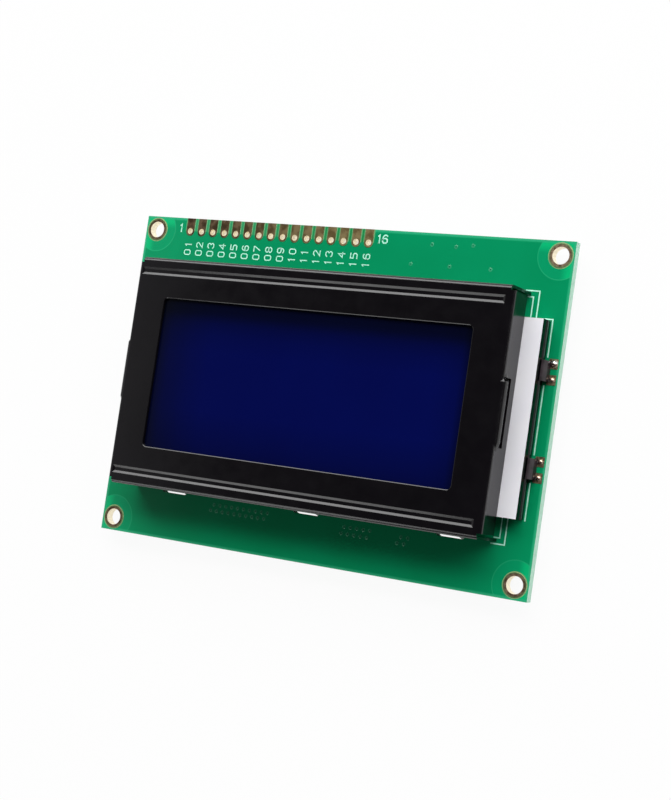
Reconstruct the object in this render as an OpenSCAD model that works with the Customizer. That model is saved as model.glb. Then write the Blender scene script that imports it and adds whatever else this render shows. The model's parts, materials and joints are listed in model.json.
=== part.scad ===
// Character display module: a circuit board with a pressed metal bezel over a
// liquid crystal cell, lit from one end by a strip of light emitting diodes.
// The board lies flat, display upwards. X runs along the board, Y towards the
// header row. The origin is the middle of the four mounting holes, with z = 0
// on the back of the board.

/* [Board] */
// Length of the board along X
board_l = 87; // [80:0.5:100]
// Width of the board along Y
board_w = 60; // [56:0.5:72]
// Thickness of the board
board_t = 1.6; // [0.8:0.1:2.4]
// Distance from a mounting hole's centre to the board's edges
mount_inset = 2.5; // [2.3:0.1:4]
// Diameter of a mounting hole
mount_hole_d = 3; // [2:0.1:3.4]
// Width of the copper ring round a mounting hole
mount_ring_w = 0.6; // [0.3:0.05:0.75]
// Thickness of the copper pads and of the plating in the holes
copper_t = 0.05; // [0.03:0.01:0.1]
// Thickness of the printed lines
ink_t = 0.03; // [0.02:0.01:0.06]
// Width of the printed lines
ink_w = 0.22; // [0.15:0.01:0.4]

/* [Printed lines] */
// Gap between the bezel's ends and the outer corner lines
outline_gap_x = 0.7; // [0.4:0.1:1]
// Gap between the bezel's long sides and the outer corner lines
outline_gap_y = 0.35; // [0.3:0.05:0.6]
// How far the inner corner lines lie inside the bezel's ends
outline_lap_x = 0.3; // [0.2:0.05:0.4]
// Gap between the bezel's walls and the inner corner lines along Y
outline_lap_y = 0.2; // [0.15:0.05:0.4]
// Length of the outer corner lines along X
outline_leg_out = 2.4; // [1:0.1:4]
// Length of the inner corner lines along X
outline_leg_in = 1; // [0.5:0.1:2]
// Gap between the tail and the line along its end
tail_line_gap = 0.35; // [0.3:0.05:0.4]
// Length of the line's leg beside the tail
tail_line_leg = 1.4; // [0.8:0.1:2]

/* [Header] */
// Number of header holes
header_count = 16; // [14:1:18]
// Pitch of the header holes
header_pitch = 2.54; // [2:0.01:2.6]
// Diameter of a header hole
header_hole_d = 1.1; // [0.8:0.05:1.2]
// Width of a header pad
header_pad_w = 1.75; // [1.4:0.05:1.9]
// Distance from the board's left edge to the first header hole
header_inset_x = 10.03; // [8:0.01:14]
// Distance from the board's top edge to the header holes
header_inset_y = 2.4; // [1.5:0.1:3]

/* [Bezel] */
// Gap between the bezel's ends and the board's ends
bezel_end_gap = 6; // [5.5:0.1:9]
// Gap between the bezel's long sides and the board's long sides
bezel_side_gap = 9.05; // [8.5:0.05:11]
// Height of the bezel's face above the board
bezel_h = 8.5; // [7.8:0.1:10]
// Thickness of the bezel's sheet metal
sheet_t = 0.5; // [0.3:0.05:0.5]
// Outside radius of the bends along the bezel's long sides
side_bend_r = 0.8; // [0.6:0.05:1.2]
// Outside radius of the bends at the bezel's ends
end_bend_r = 0.55; // [0.55:0.05:1]
// Height of the end walls' lower edge above the board
end_wall_lift = 3.3; // [3.25:0.05:3.6]
// Size of the open corner along X
corner_notch_x = 0.8; // [0.75:0.05:1.2]
// Size of the open corner along Y
corner_notch_y = 1; // [0.75:0.05:1.4]
// Width of the bezel's border beside the window's ends
window_border_x = 6.55; // [5.5:0.05:8]
// Width of the bezel's border beside the window's long sides
window_border_y = 7.32; // [6:0.02:9]
// Corner radius of the window
window_r = 0.8; // [0.3:0.1:2]
// Width of the slope round the window's rim
window_slope_w = 0.12; // [0.05:0.01:0.2]
// Depth of the slope round the window's rim
window_slope_h = 0.06; // [0.03:0.01:0.1]

/* [Grooves and clips] */
// Distance from the bezel's long sides to the middle of each groove
groove_inset_y = 2.55; // [2.4:0.05:3]
// Distance from the bezel's left end to the left end of each groove
groove_inset_left = 0.75; // [0.7:0.05:4]
// Distance from the bezel's tail end to the right end of each groove
groove_inset_right = 1.65; // [0.7:0.05:4]
// Width of each groove at the bezel's face
groove_w = 1.4; // [1.2:0.1:2]
// Depth of each groove
groove_depth = 0.2; // [0.18:0.01:0.4]
// Width of a groove's sloping side
groove_slope_w = 0.4; // [0.2:0.05:0.5]
// Length of the opening under each end clip
clip_slot_l = 11.5; // [6:0.5:16]
// Height of the opening under each end clip
clip_slot_h = 2.1; // [1:0.1:2.4]
// Depth of the clip's lower edge below the bezel's face
clip_drop = 1.25; // [1.1:0.05:1.4]
// How far each end clip stands out of its wall
clip_bulge = 0.5; // [0.1:0.05:0.6]
// Length over which each end clip runs back into its wall
clip_taper = 1.5; // [1:0.1:2]
// Width of the cut that frees one end of each clip
clip_notch_w = 0.6; // [0.3:0.1:1]
// Depth of the cut's upper end below the bezel's face
clip_notch_drop = 0.3; // [0.2:0.05:0.5]

/* [Twist tabs] */
// Spacing of the tabs along each long side
tab_pitch = 28.25; // [20:0.25:30]
// Width of a tab
tab_w = 4.4; // [2.5:0.1:4.8]
// Length of a tab's tip behind the board
tab_tip = 2.1; // [1.8:0.1:3]
// Angle through which a tab's tip is twisted
tab_twist = 38; // [20:1:60]
// Length of the slot for a tab
tab_slot_l = 5.5; // [5:0.1:7]
// Gap between a tab's inner face and its slot
tab_gap_in = 0.2; // [0.1:0.05:0.3]
// Gap between a tab's outer face and its slot
tab_gap_out = 0.5; // [0.3:0.05:1]

/* [Display cell] */
// Gap between the cell's glass and the bezel's walls
glass_gap = 0.8; // [0.3:0.1:1.2]
// Thickness of each glass
glass_t = 1.1; // [0.7:0.1:1.1]
// Thickness of the liquid crystal layer and its seal
cell_t = 0.1; // [0.05:0.01:0.15]
// Width of the seal round the liquid crystal
seal_w = 1.2; // [0.8:0.1:2]
// Thickness of each polarizer
polarizer_t = 0.18; // [0.1:0.02:0.2]
// How far the front polarizer runs under the bezel's border
polarizer_lap = 1.6; // [1:0.1:2]
// Clearance between pieces that are pressed together
press_gap = 0.02; // [0.01:0.01:0.03]
// Width of each elastomer connector strip
zebra_w = 1.8; // [1.2:0.1:2]
// Gap between a connector strip and its neighbours
zebra_gap = 0.5; // [0.3:0.1:0.6]
// Distance from the glass's ends to a connector strip's ends
zebra_inset = 3; // [1:0.5:8]

/* [Backlight] */
// How far the backlight stands out past the bezel
tail_l = 3.35; // [3:0.05:3.5]
// Height of the tail above the board
tail_h = 3.2; // [3:0.05:3.2]
// Thickness of the tail's white cover
tail_cover_t = 0.4; // [0.3:0.05:0.6]
// Thickness of the housing's side walls
housing_wall = 1.3; // [1:0.1:1.5]
// How far the housing's sides stay inside the rear glass's sides
housing_side_gap = 0.4; // [0.2:0.05:0.6]
// Width of the step that the rear polarizer lies in
housing_step = 0.2; // [0.1:0.05:0.3]
// Offset of the backlight along Y, as assembled
backlight_shift = -0.2; // [-0.3:0.05:0.3]
// Thickness of the reflector film
reflector_t = 0.15; // [0.1:0.01:0.2]
// Thickness of the diffuser film
diffuser_t = 0.18; // [0.1:0.01:0.25]
// Clearance round the films and the light guide
film_gap = 0.1; // [0.05:0.05:0.2]
// Thickness of the strip board that carries the light emitting diodes
strip_t = 0.4; // [0.3:0.05:0.6]
// Number of light emitting diodes
led_count = 6; // [4:1:7]
// Length of a light emitting diode
led_l = 3; // [2:0.1:3.5]
// Depth of a light emitting diode
led_depth = 0.65; // [0.5:0.05:0.8]
// Height of a light emitting diode
led_h = 1.2; // [0.8:0.1:1.6]
// Thickness of the black tape on the tail's end
tape_t = 0.1; // [0.06:0.02:0.2]
// Height of the tape's free edge above the board
tape_low = 1.7; // [1:0.1:2]
// How far the tape's free edge curls away
tape_curl = 0.18; // [0.1:0.02:0.3]
// Height of the part of the tape that curls away
tape_flap = 0.35; // [0.2:0.05:0.5]

/* [Backlight leads] */
// Distance between the middles of the two pairs of leads
lead_pairs_y = 16.3; // [12:0.1:20]
// Distance between the two leads of a pair
lead_pitch = 2.7; // [2.2:0.1:3.4]
// Offset of the leads along Y
lead_shift = -0.1; // [-1:0.1:1]
// Length of a backlight pad along X
lead_pad_l = 1.6; // [1.2:0.1:1.6]
// Width of a backlight pad along Y
lead_pad_w = 1.7; // [1:0.1:1.8]
// Gap between the tail's end and the backlight pads
lead_pad_gap = 0.75; // [0.5:0.05:0.8]
// Width of a lead
lead_w = 0.6; // [0.4:0.1:0.9]
// Thickness of a lead
lead_t = 0.15; // [0.1:0.05:0.25]
// How far a lead reaches onto its pad
lead_reach = 0.9; // [0.5:0.1:1.1]
// How far the cover over each pair of leads stands out
lead_cover_x = 1.15; // [0.9:0.05:1.2]
// Height of the cover over each pair of leads
lead_cover_z = 2.3; // [1.2:0.1:2.6]
// How far the cover runs past its leads along Y
lead_cover_side = 0.4; // [0.35:0.05:0.8]
// Radius of the heavy solder joint
solder_big_r = 0.7; // [0.6:0.02:0.74]
// Radius of the other solder joints
solder_small_r = 0.5; // [0.42:0.02:0.6]
// Height of a solder joint as a share of its radius
solder_rise = 0.7; // [0.5:0.05:0.9]

/* [Chips on the back] */
// Diameter of the controller's epoxy cap
controller_cap_d = 15; // [12:0.5:17]
// Diameter of each driver's epoxy cap
driver_cap_d = 13; // [10:0.5:15]
// Height of the epoxy caps
cap_h = 1.6; // [1:0.1:1.8]
// Distance between the caps along X
cap_pitch = 24; // [20:0.5:26]
// Distance of the caps from the board's middle along Y
cap_y = -2; // [-4:0.5:2]
// Gap between a cap and its printed ring
cap_ring_gap = 0.6; // [0.4:0.1:1]
// Length of a chip resistor or capacitor
chip_l = 2; // [1.6:0.1:2.2]
// Width of a chip resistor or capacitor
chip_w = 1.25; // [0.8:0.05:1.4]
// Thickness of a chip resistor
resistor_t = 0.5; // [0.4:0.05:0.6]
// Thickness of a chip capacitor
capacitor_t = 0.9; // [0.6:0.05:1.2]
// Length of the metal end of a chip
chip_end_l = 0.4; // [0.3:0.05:0.5]
// Number of resistors in the row
resistor_count = 5; // [3:1:6]
// Spacing of the resistors in the row
resistor_pitch = 3; // [2.5:0.1:3.2]
// Distance of the chips from the board's middle along Y
chip_row_y = 14.5; // [13.5:0.5:16]
// Distance of the capacitors from the board's middle along X
capacitor_x = 16; // [12:0.5:19]

/* [Hidden] */
$fn = 48;
cut = 1;

// Bezel
bezel_l = board_l - 2 * bezel_end_gap;
bezel_w = board_w - 2 * bezel_side_gap;
inner_l = bezel_l - 2 * sheet_t;
inner_w = bezel_w - 2 * sheet_t;
window_l = bezel_l - 2 * window_border_x;
window_w = bezel_w - 2 * window_border_y;
groove_y = bezel_w / 2 - groove_inset_y;
groove_l = bezel_l - groove_inset_left - groove_inset_right;
groove_x = (groove_inset_left - groove_inset_right) / 2;
groove_slope = atan(groove_depth / groove_slope_w);
ridge_grow = 2 * sheet_t * tan(groove_slope / 2);
clip_r = end_bend_r + clip_bulge;
clip_axis_x = bezel_l / 2 + clip_bulge - clip_r;
clip_axis_z = bezel_h - clip_r;
clip_slot_top = bezel_h - clip_drop;
tab_x = [-tab_pitch, 0, tab_pitch];
tab_y = (bezel_w - sheet_t) / 2;
tab_slot_w = sheet_t + tab_gap_in + tab_gap_out;
tab_slot_y = bezel_w / 2 + tab_gap_out - tab_slot_w / 2;

// Display cell: heights above the board, from the bezel down
face_under = bezel_h - sheet_t;
front_glass_top = face_under - groove_depth - press_gap;
front_glass_low = front_glass_top - glass_t;
rear_glass_top = front_glass_low - cell_t;
rear_glass_low = rear_glass_top - glass_t;
glass_l = inner_l - 2 * glass_gap;
front_glass_w = inner_w - 2 * glass_gap;
zebra_y = groove_y;
rear_glass_w = 2 * (zebra_y - zebra_w / 2 - zebra_gap);
polarizer_l = window_l + 2 * polarizer_lap;
polarizer_w = window_w + 2 * polarizer_lap;
zebra_l = glass_l - 2 * zebra_inset;
zebra_h = front_glass_low - press_gap;

// Backlight
housing_w = rear_glass_w - 2 * housing_side_gap;
tail_end = bezel_l / 2 + tail_l;
housing_left = -glass_l / 2;
housing_right = glass_l / 2;
housing_h = rear_glass_low - press_gap;
ledge_z = tail_h - tail_cover_t;
pocket_w = housing_w - 2 * housing_wall;
pocket_left = housing_left + housing_wall;
strip_x = tail_end - strip_t - press_gap;
led_x = strip_x - led_depth;
guide_left = pocket_left + film_gap;
guide_right = led_x - film_gap;
guide_low = reflector_t + press_gap;
guide_top = ledge_z - diffuser_t - 2 * press_gap;
film_w = pocket_w - 2 * film_gap;
film_right = bezel_l / 2;
led_pitch = film_w / led_count;
led_z = (guide_low + guide_top - led_h) / 2;

// Backlight leads
pad_x = tail_end + lead_pad_gap;
lead_ys = [for (side = [1, -1], k = [1, -1])
           lead_shift + side * lead_pairs_y / 2 + k * lead_pitch / 2];
lead_z = copper_t;
joint_x = pad_x + lead_reach;

// Header
header_x = -board_l / 2 + header_inset_x;
header_y = board_w / 2 - header_inset_y;

// Mounting holes
mount_x = board_l / 2 - mount_inset;
mount_y = board_w / 2 - mount_inset;
mount_pad_d = mount_hole_d + 2 * mount_ring_w;

// Printed lines round the bezel's corners and the backlight's tail
outline_out_x = bezel_l / 2 + outline_gap_x;
outline_out_y = bezel_w / 2 + outline_gap_y;
outline_in_x = bezel_l / 2 - outline_lap_x;
outline_in_y = inner_w / 2 - outline_lap_y;
outline_low_y = housing_w / 2 + abs(backlight_shift) + ink_w / 2 + press_gap;
tail_line_x = tail_end + tail_line_gap;

// Chips
resistor_xs = [for (i = [0 : resistor_count - 1]) (i - (resistor_count - 1) / 2) * resistor_pitch];
capacitor_xs = [-capacitor_x, capacitor_x];

// ---- shared forms ----

// Section of a cover: a rectangle whose two upper corners are round
module cover_section(w, low, high, r) {
    translate([-w / 2, low]) square([w, high - low - r]);
    translate([-w / 2 + r, low]) square([w - 2 * r, high - low]);
    for (side = [-1, 1]) translate([side * (w / 2 - r), high - r]) circle(r);
}

// Block from low to high with its four upper edges bent over: by end_r at its
// ends and by side_r along its sides
module cover_block(l, w, low, high, end_r, side_r) {
    intersection() {
        rotate([90, 0, 0]) linear_extrude(w, center = true) cover_section(l, low, high, end_r);
        rotate([90, 0, 90]) linear_extrude(l, center = true) cover_section(w, low, high, side_r);
    }
}

// Box centred on x and y
module pad_box(l, w, low, high) {
    translate([-l / 2, -w / 2, low]) cube([l, w, high - low]);
}

// Plate with round corners, centred on x and y
module round_plate(l, w, low, high, r) {
    pad_box(l - 2 * r, w, low, high);
    pad_box(l, w - 2 * r, low, high);
    for (x = [-1, 1], y = [-1, 1]) {
        translate([x * (l / 2 - r), y * (w / 2 - r), low]) cylinder(r = r, h = high - low);
    }
}

// Slot with round ends, along X
module slot_plate(l, w, low, high) {
    pad_box(l - w, w, low, high);
    for (x = [-1, 1]) translate([x * (l - w) / 2, 0, low]) cylinder(d = w, h = high - low);
}

// Cutter that slopes the rim of a rounded opening in a face at the height top. The slope is as
// wide as across and goes down by deep
module rim_slope(l, w, r, across, deep, top) {
    diamond = [[across, 0], [0, deep], [-across, 0], [0, -deep]];
    for (side = [-1, 1]) {
        translate([0, side * w / 2, top]) rotate([90, 0, 90])
            linear_extrude(l - 2 * r, center = true) polygon(diamond);
        translate([side * l / 2, 0, top]) rotate([90, 0, 0])
            linear_extrude(w - 2 * r, center = true) polygon(diamond);
    }
    for (x = [-1, 1], y = [-1, 1]) {
        translate([x * (l / 2 - r), y * (w / 2 - r), top - deep])
            cylinder(r1 = r, r2 = r + 2 * across, h = 2 * deep);
    }
}

// Section that widens by side_w on each side up to the height h, with straight sides above
module flared_section(w, h, side_w) {
    polygon([[side_w - w / 2, 0], [w / 2 - side_w, 0], [w / 2, h], [w / 2, h + cut],
             [-w / 2, h + cut], [-w / 2, h]]);
}

// Cutter that stands on z = 0, with four sides that slope out up to its mouth at the height h
module flared_block(l, w, h, side_w) {
    intersection() {
        rotate([90, 0, 0]) linear_extrude(w, center = true) flared_section(l, h, side_w);
        rotate([90, 0, 90]) linear_extrude(l, center = true) flared_section(w, h, side_w);
    }
}

// Cap of a ball that stands on z = 0, of base radius a and height h
module ball_cap(a, h) {
    ball_r = (a * a + h * h) / (2 * h);
    intersection() {
        translate([0, 0, h - ball_r]) sphere(r = ball_r, $fn = 96);
        cylinder(r = a + cut, h = h + cut);
    }
}

module at_mounts() {
    for (x = [-1, 1], y = [-1, 1]) translate([x * mount_x, y * mount_y, 0]) children();
}

module at_header() {
    for (i = [0 : header_count - 1]) translate([header_x + i * header_pitch, header_y, 0]) children();
}

module at_tabs() {
    for (x = tab_x, side = [-1, 1]) translate([x, side * tab_y, 0]) children();
}

// ---- circuit board ----

// Cutter for a hole through the board and its copper
module drill(d) {
    translate([0, 0, -cut]) cylinder(d = d, h = board_t + 2 * cut);
}

module pcb() {
    color("seagreen") difference() {
        pad_box(board_l, board_w, 0, board_t);
        at_mounts() drill(mount_hole_d + 2 * copper_t);
        at_header() drill(header_hole_d + 2 * copper_t);
        for (x = tab_x, side = [-1, 1]) {
            translate([x, side * tab_slot_y, 0]) slot_plate(tab_slot_l, tab_slot_w, -cut, board_t + cut);
        }
    }
}

// Copper that lines a drilled hole and joins its two pads; the child is a pad's outline
module plated_hole(d) {
    difference() {
        union() {
            for (low = [-copper_t, board_t]) translate([0, 0, low]) linear_extrude(copper_t) children();
            translate([0, 0, -copper_t]) cylinder(d = d + 2 * copper_t, h = board_t + 2 * copper_t);
        }
        drill(d);
    }
}

module mounting_pads() {
    color("tan") at_mounts() plated_hole(mount_hole_d) circle(d = mount_pad_d);
}

// Outline of a header pad: round at the hole, straight out to the board's edge
module header_pad() {
    circle(d = header_pad_w);
    translate([-header_pad_w / 2, 0]) square([header_pad_w, header_inset_y]);
}

module header_pads() {
    color("tan") at_header() plated_hole(header_hole_d) header_pad();
}

module backlight_pads() {
    color("peru") for (y = lead_ys) {
        translate([pad_x, y - lead_pad_w / 2, board_t]) cube([lead_pad_l, lead_pad_w, copper_t]);
    }
}

// ---- printed lines ----

// A printed line between two points that share an x or a y
module print_line(a, b, low) {
    x0 = min(a[0], b[0]) - ink_w / 2;
    y0 = min(a[1], b[1]) - ink_w / 2;
    translate([x0, y0, low]) cube([abs(a[0] - b[0]) + ink_w, abs(a[1] - b[1]) + ink_w, ink_t]);
}

// Two lines round a corner of the bezel's tail end; side is 1 at the header and -1 away from it
module corner_print(side) {
    out_y = side * outline_out_y;
    in_y = side * outline_in_y;
    print_line([outline_out_x, side * outline_low_y], [outline_out_x, out_y], board_t);
    print_line([outline_out_x - outline_leg_out, out_y], [outline_out_x, out_y], board_t);
    print_line([outline_in_x, side * outline_low_y], [outline_in_x, in_y], board_t);
    print_line([outline_in_x - outline_leg_in, in_y], [outline_in_x, in_y], board_t);
}

module front_outline_print() {
    pair_half = (lead_pitch + lead_pad_w) / 2 + ink_w;
    upper = lead_shift + lead_pairs_y / 2;
    lower = lead_shift - lead_pairs_y / 2;
    top = housing_w / 2 + backlight_shift + outline_gap_y;
    color("white") {
        for (side = [-1, 1]) corner_print(side);
        print_line([tail_line_x, upper + pair_half], [tail_line_x, top], board_t);
        print_line([tail_line_x - tail_line_leg, top], [tail_line_x, top], board_t);
        print_line([tail_line_x, lower + pair_half], [tail_line_x, upper - pair_half], board_t);
        print_line([tail_line_x, backlight_shift - housing_w / 2],
                   [tail_line_x, lower - pair_half], board_t);
    }
}

module print_ring(r) {
    difference() {
        cylinder(r = r + ink_w, h = ink_t);
        translate([0, 0, -cut]) cylinder(r = r, h = ink_t + 2 * cut);
    }
}

module back_outline_print() {
    color("white") translate([0, 0, -ink_t]) {
        translate([0, cap_y, 0]) print_ring(controller_cap_d / 2 + cap_ring_gap);
        for (side = [-1, 1]) {
            translate([side * cap_pitch, cap_y, 0]) print_ring(driver_cap_d / 2 + cap_ring_gap);
        }
    }
}

// ---- bezel ----

// Grooves pressed into the face, or with grow and drop the ridges that they raise underneath
module groove_blocks(grow, drop) {
    for (side = [-1, 1]) translate([groove_x, side * groove_y, bezel_h - groove_depth - drop])
        flared_block(groove_l + grow, groove_w + grow, groove_depth, groove_slope_w);
}

// Rounded bulge of each end clip; inset by the sheet it is the hollow behind
module clip_bulges(inset) {
    r = clip_r - inset;
    end_r = clip_r - clip_bulge - inset;
    half = clip_slot_l / 2 - clip_taper / 2;
    for (side = [-1, 1]) translate([side * clip_axis_x, 0, clip_axis_z]) {
        rotate([90, 0, 0]) cylinder(r = r, h = 2 * half, center = true);
        for (way = [-1, 1]) translate([0, way * half, 0]) rotate([-90 * way, 0, 0])
            cylinder(r1 = r, r2 = max(end_r, 0.05), h = clip_taper);
    }
}

module bezel_face_cuts() {
    wall_reach = clip_bulge + sheet_t + cut;
    groove_blocks(0, 0);
    round_plate(window_l, window_w, face_under - cut, bezel_h + cut, window_r);
    rim_slope(window_l, window_w, window_r, window_slope_w, window_slope_h, bezel_h);
    for (x = [-1, 1], y = [-1, 1]) {
        translate([x * bezel_l / 2, y * bezel_w / 2, 0])
            pad_box(2 * corner_notch_x, 2 * corner_notch_y, -cut, bezel_h + cut);
    }
    for (side = [-1, 1]) {
        translate([side * (inner_l / 2 + wall_reach / 2), 0, 0]) {
            pad_box(wall_reach, bezel_w + cut, -cut, end_wall_lift);
            pad_box(wall_reach, clip_slot_l, clip_slot_top - clip_slot_h, clip_slot_top);
            translate([0, (clip_slot_l - clip_notch_w) / 2, 0])
                pad_box(wall_reach, clip_notch_w, clip_slot_top - cut, bezel_h - clip_notch_drop);
        }
    }
}

module bezel_shell() {
    difference() {
        union() {
            cover_block(bezel_l, bezel_w, 0, bezel_h, end_bend_r, side_bend_r);
            clip_bulges(0);
        }
        difference() {
            cover_block(inner_l, inner_w, -cut, face_under, end_bend_r - sheet_t, side_bend_r - sheet_t);
            groove_blocks(ridge_grow, sheet_t);
        }
        clip_bulges(sheet_t);
        bezel_face_cuts();
    }
}

// Tab through the board, its tip twisted behind it
module twist_tab() {
    pad_box(tab_w, sheet_t, 0, board_t + cut);
    rotate([180, 0, 0]) linear_extrude(tab_tip, twist = -tab_twist, slices = 8, segments = 4)
        square([tab_w, sheet_t], center = true);
}

module bezel() {
    color([0.12, 0.12, 0.13]) {
        translate([0, 0, board_t]) bezel_shell();
        at_tabs() twist_tab();
    }
}

// ---- display cell ----

module front_polarizer() {
    color([0.05, 0.06, 0.3]) translate([0, 0, board_t])
        pad_box(polarizer_l, polarizer_w, front_glass_top, front_glass_top + polarizer_t);
}

module front_glass() {
    color([0.6, 0.75, 0.8, 0.5]) translate([0, 0, board_t])
        pad_box(glass_l, front_glass_w, front_glass_low, front_glass_top);
}

module cell_seal() {
    color([0.85, 0.85, 0.8]) translate([0, 0, board_t]) difference() {
        pad_box(glass_l, rear_glass_w, rear_glass_top, front_glass_low);
        pad_box(glass_l - 2 * seal_w, rear_glass_w - 2 * seal_w,
                rear_glass_top - cut, front_glass_low + cut);
    }
}

module crystal_layer() {
    color([0.05, 0.08, 0.5]) translate([0, 0, board_t])
        pad_box(glass_l - 2 * seal_w, rear_glass_w - 2 * seal_w, rear_glass_top, front_glass_low);
}

module rear_glass() {
    color([0.6, 0.75, 0.8, 0.5]) translate([0, 0, board_t])
        pad_box(glass_l, rear_glass_w, rear_glass_low, rear_glass_top);
}

module rear_polarizer() {
    color([0.1, 0.1, 0.3]) translate([0, 0, board_t])
        pad_box(polarizer_l - 2 * film_gap, pocket_w - 2 * film_gap - 2 * abs(backlight_shift),
                rear_glass_low - polarizer_t, rear_glass_low);
}

module zebra_strip(side) {
    color([0.25, 0.25, 0.27]) translate([0, side * zebra_y, board_t]) pad_box(zebra_l, zebra_w, 0, zebra_h);
}

module zebra_strip_top() {
    zebra_strip(1);
}

module zebra_strip_bottom() {
    zebra_strip(-1);
}

// ---- backlight ----

module at_backlight() {
    translate([0, backlight_shift, board_t]) children();
}

// Box from x0 to x1, centred on y
module span_box(x0, x1, w, low, high) {
    translate([x0, -w / 2, low]) cube([x1 - x0, w, high - low]);
}

module backlight_housing() {
    color([0.93, 0.93, 0.95]) at_backlight() difference() {
        union() {
            span_box(housing_left, housing_right, housing_w, 0, housing_h);
            span_box(housing_right - cut, tail_end, housing_w, 0, tail_h);
        }
        span_box(pocket_left, tail_end + cut, pocket_w, -cut, ledge_z);
        span_box(strip_x - press_gap, tail_end + cut, housing_w + cut, -cut, ledge_z);
        span_box(pocket_left + housing_wall, housing_right - housing_wall, pocket_w - housing_wall,
                 ledge_z - cut, housing_h - polarizer_t - press_gap + cut);
        span_box(pocket_left - housing_step, housing_right - housing_wall + housing_step, pocket_w,
                 housing_h - polarizer_t - press_gap, housing_h + cut);
    }
}

module light_guide() {
    color([0.85, 0.95, 1, 0.6]) at_backlight()
        span_box(guide_left, guide_right, film_w, guide_low, guide_top);
}

module diffuser_film() {
    color([0.95, 0.95, 0.95]) at_backlight()
        span_box(guide_left, film_right, film_w, guide_top + press_gap, guide_top + press_gap + diffuser_t);
}

module reflector_film() {
    color("white") at_backlight() span_box(guide_left, guide_right, film_w, 0, reflector_t);
}

module led_strip_board() {
    color([0.1, 0.13, 0.12]) at_backlight()
        span_box(strip_x, strip_x + strip_t, housing_w, 0, ledge_z - press_gap);
}

module led_chips() {
    color([0.95, 0.9, 0.6]) at_backlight() for (i = [0 : led_count - 1]) {
        translate([0, (i - (led_count - 1) / 2) * led_pitch, 0])
            span_box(led_x, strip_x, led_l, led_z, led_z + led_h);
    }
}

// Black tape down the tail's end, with its free lower edge curled out
module backlight_tape() {
    top = tail_h - press_gap;
    bend = tape_low + tape_flap;
    color([0.08, 0.06, 0.08]) at_backlight() translate([tail_end, 0, 0]) rotate([90, 0, 0])
        linear_extrude(housing_w, center = true)
            polygon([[0, top], [tape_t, top], [tape_t, bend], [tape_t + tape_curl, tape_low],
                     [tape_curl, tape_low], [0, bend]]);
}

// Black cover over each pair of leads: it leans in to the tail, and makes room
// for the leads, their pads and the solder
module lead_covers() {
    w = lead_cover_x - tape_t - tape_curl - press_gap;
    r = (pow(w, 2) + pow(lead_cover_z, 2)) / (2 * w);
    half = lead_pitch / 2 + lead_cover_side;
    color([0.08, 0.06, 0.08]) translate([0, 0, board_t]) difference() {
        for (side = [-1, 1]) {
            translate([pad_x - lead_pad_gap + lead_cover_x - w, lead_shift + side * lead_pairs_y / 2, 0])
                intersection() {
                    translate([w - r, 0, 0]) rotate([90, 0, 0])
                        cylinder(r = r, h = 2 * half, center = true);
                    span_box(0, w, 2 * half + cut, 0, lead_cover_z);
                }
        }
        lead_boxes(tail_end, lead_w + 2 * press_gap, -cut, lead_z + lead_t + press_gap);
        solder_caps(2 * press_gap);
        for (y = lead_ys) {
            translate([pad_x - press_gap, y, 0])
                span_box(0, lead_pad_l, lead_pad_w + 2 * press_gap, -cut, copper_t + press_gap);
        }
    }
}

// A box along each lead, from x0 to the lead's end
module lead_boxes(x0, w, low, high) {
    for (y = lead_ys) translate([0, y, 0]) span_box(x0, joint_x, w, low, high);
}

module backlight_leads() {
    color("silver") translate([0, 0, board_t])
        lead_boxes(strip_x + strip_t, lead_w, lead_z, lead_z + lead_t);
}

// Domes of solder over the leads' ends; grow makes room for them in a neighbour
module solder_caps(grow) {
    for (i = [0 : len(lead_ys) - 1]) {
        r = i == 0 ? solder_big_r : solder_small_r;
        translate([joint_x, lead_ys[i], copper_t]) ball_cap(r + grow, r * solder_rise + grow);
    }
}

module solder_joints() {
    color("silver") translate([0, 0, board_t]) difference() {
        solder_caps(0);
        lead_boxes(tail_end, lead_w, lead_z, lead_z + lead_t);
    }
}

// ---- chips on the back ----

module epoxy_cap(x, d) {
    color([0.07, 0.07, 0.08]) translate([x, cap_y, 0]) mirror([0, 0, 1]) ball_cap(d / 2, cap_h);
}

module controller_cap() {
    epoxy_cap(0, controller_cap_d);
}

module driver_cap_left() {
    epoxy_cap(-cap_pitch, driver_cap_d);
}

module driver_cap_right() {
    epoxy_cap(cap_pitch, driver_cap_d);
}

module chip_body(x, t) {
    translate([x, chip_row_y, 0]) pad_box(chip_w, chip_l - 2 * chip_end_l, -t, 0);
}

module chip_ends(x, t) {
    for (side = [-1, 1]) translate([x, chip_row_y + side * (chip_l - chip_end_l) / 2, 0])
        pad_box(chip_w, chip_end_l, -t, 0);
}

module resistor_bodies() {
    color([0.1, 0.1, 0.1]) for (x = resistor_xs) chip_body(x, resistor_t);
}

module capacitor_bodies() {
    color([0.7, 0.55, 0.38]) for (x = capacitor_xs) chip_body(x, capacitor_t);
}

module chip_terminals() {
    color("silver") {
        for (x = resistor_xs) chip_ends(x, resistor_t);
        for (x = capacitor_xs) chip_ends(x, capacitor_t);
    }
}

pcb();
bezel();
front_polarizer();
front_glass();
cell_seal();
crystal_layer();
rear_glass();
rear_polarizer();
zebra_strip_top();
zebra_strip_bottom();
backlight_housing();
light_guide();
diffuser_film();
reflector_film();
led_strip_board();
led_chips();
backlight_tape();
lead_covers();
backlight_leads();
solder_joints();
mounting_pads();
header_pads();
backlight_pads();
front_outline_print();
back_outline_print();
controller_cap();
driver_cap_left();
driver_cap_right();
resistor_bodies();
capacitor_bodies();
chip_terminals();
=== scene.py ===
"""Looks of the character display module: finishes, printing, copper, light and camera.

Lengths are in metres, in the frame of the CAD model: X along the board, Y towards the header
row and Z out of the display. The origin is on the board's back, in the middle of the mounting
holes. Places and widths that a shader compares are in millimetres, as Finish.axis gives them.
"""

import json
import math

import bmesh
import bpy
from mathutils import Matrix, Vector


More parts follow.
